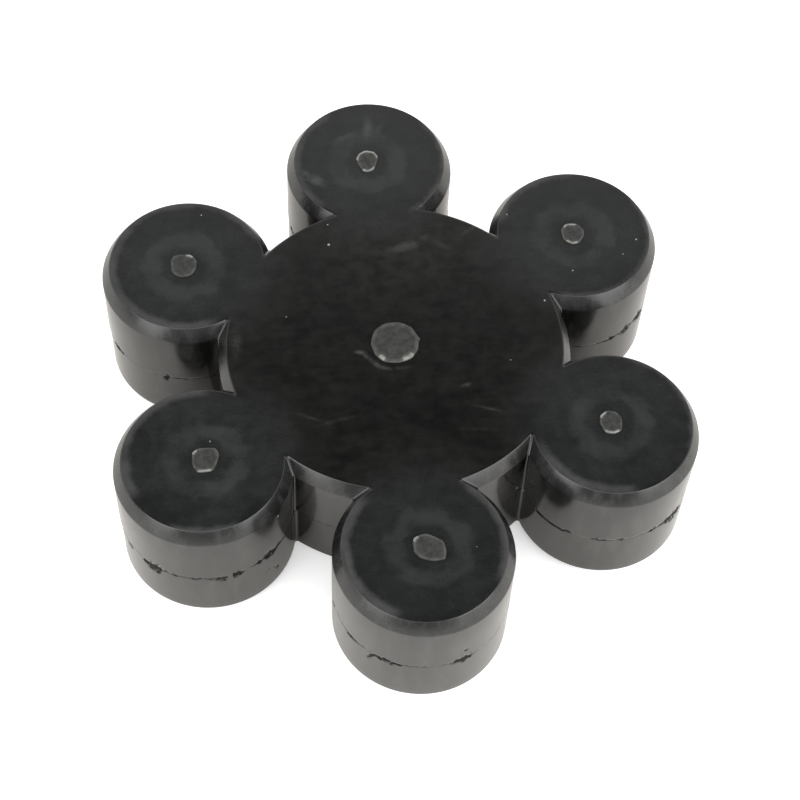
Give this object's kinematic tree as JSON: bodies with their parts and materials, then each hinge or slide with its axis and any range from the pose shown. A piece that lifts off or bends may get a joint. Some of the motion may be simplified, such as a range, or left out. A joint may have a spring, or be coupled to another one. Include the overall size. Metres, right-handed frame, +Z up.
{
  "type": "damper coupling",
  "caption": "Solid moulded rubber star with round lobes on a round hub, chamfered on both faces, which sits between the jaws of two shaft couplings to damp shocks.",
  "frame": {"origin": "centre of the lower face, on the star's axis, where the part rests", "axes": "+Z up along the star's axis, out of the face with the trimmed gates; one lobe points along +Y and one along -Y"},
  "size_m": [0.1152, 0.1276, 0.0329],
  "materials": {
    "moulded_rubber": "black carbon-filled moulded rubber with a dull sheen"
  },
  "bodies": {
    "root": {"coupling_star": "moulded_rubber"}
  },
  "joints": []
}
